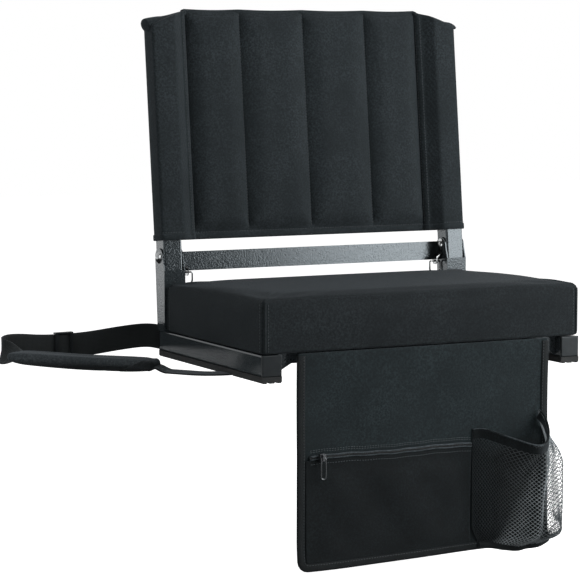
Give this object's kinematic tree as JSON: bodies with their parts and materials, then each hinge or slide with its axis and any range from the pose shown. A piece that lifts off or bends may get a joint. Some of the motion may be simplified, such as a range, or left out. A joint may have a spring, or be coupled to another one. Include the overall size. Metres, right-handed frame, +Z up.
{
  "type": "stadium seat",
  "caption": "Folding stadium seat: steel bench frame with thick cushion, quilted fold-down back, hanging accessory flap with zip and mesh pockets, and padded shoulder strap.",
  "frame": {"origin": "on the bench plane under the runners, below the middle of the base", "axes": "+X to the viewer's right, +Y to the back of the seat, +Z up"},
  "size_m": [0.6488, 0.3783, 0.6614],
  "materials": {
    "hammertone_steel": "gloss",
    "black_plastic": "satin",
    "pale_rubber": "matte",
    "bright_chrome": "polished",
    "zinc_steel": "satin",
    "black_polyester": "matte",
    "black_webbing": "satin",
    "black_mesh": "matte",
    "plywood": "matte",
    "foam": "matte"
  },
  "bodies": {
    "base": {"base_rail_left": "hammertone_steel", "base_rail_right": "hammertone_steel", "rail_cap_front_left": "black_plastic", "rail_cap_front_right": "black_plastic", "rail_cap_rear_left": "black_plastic", "rail_cap_rear_right": "black_plastic", "runner_left": "pale_rubber", "runner_right": "pale_rubber", "front_cross_bar": "hammertone_steel", "rear_cross_bar": "hammertone_steel", "upright_left": "hammertone_steel", "upright_right": "hammertone_steel", "pivot_rivet_left": "bright_chrome", "pivot_rivet_right": "bright_chrome", "ring_clip_left": "zinc_steel", "ring_clip_right": "zinc_steel", "cushion_cover": "black_polyester", "seat_board": "plywood", "seat_foam": "foam", "board_screws": "zinc_steel", "strap_webbing_rear": "black_webbing", "strap_slider": "black_plastic", "strap_pad": "black_polyester", "strap_webbing_front": "black_webbing", "strap_anchor_rear": "zinc_steel", "strap_anchor_front": "zinc_steel"},
    "back": {"back_rail_left": "hammertone_steel", "back_rail_right": "hammertone_steel", "back_plug_left": "black_plastic", "back_plug_right": "black_plastic", "back_cross_bar": "hammertone_steel", "back_cover": "black_polyester", "back_foam": "foam"},
    "ring_left": {"d_ring_left": "bright_chrome"},
    "ring_right": {"d_ring_right": "bright_chrome"},
    "flap": {"flap_panel": "black_polyester", "flap_binding": "black_webbing", "zip_tape": "black_webbing", "zip_pocket": "black_polyester", "mesh_pocket": "black_mesh", "mesh_band": "black_webbing"},
    "zip_slider": {"zip_slider": "bright_chrome"},
    "zip_pull": {"zip_pull": "bright_chrome"}
  },
  "joints": [
    {"name": "back_fold", "type": "hinge", "parent": "base", "child": "back", "pos_m": [0, 0.14, 0.1235], "axis": [1, 0, 0], "range_deg": [0, 95]},
    {"name": "ring_left_swing", "type": "hinge", "parent": "base", "child": "ring_left", "pos_m": [-0.1799, 0.14, 0.104], "axis": [1, 0, 0], "range_deg": [-60, 60]},
    {"name": "ring_right_swing", "type": "hinge", "parent": "base", "child": "ring_right", "pos_m": [0.1799, 0.14, 0.104], "axis": [1, 0, 0], "range_deg": [-60, 60]},
    {"name": "flap_swing", "type": "hinge", "parent": "base", "child": "flap", "pos_m": [0, -0.1453, 0.0312], "axis": [-1, 0, 0], "range_deg": [-40, 110]},
    {"name": "zip_slide", "type": "slide", "parent": "flap", "child": "zip_slider", "axis": [1, 0, 0], "range_m": [0, 0.195]},
    {"name": "zip_pull_swing", "type": "hinge", "parent": "zip_slider", "child": "zip_pull", "pos_m": [-0.141, -0.1531, -0.0898], "axis": [-1, 0, 0], "range_deg": [0, 160]}
  ]
}
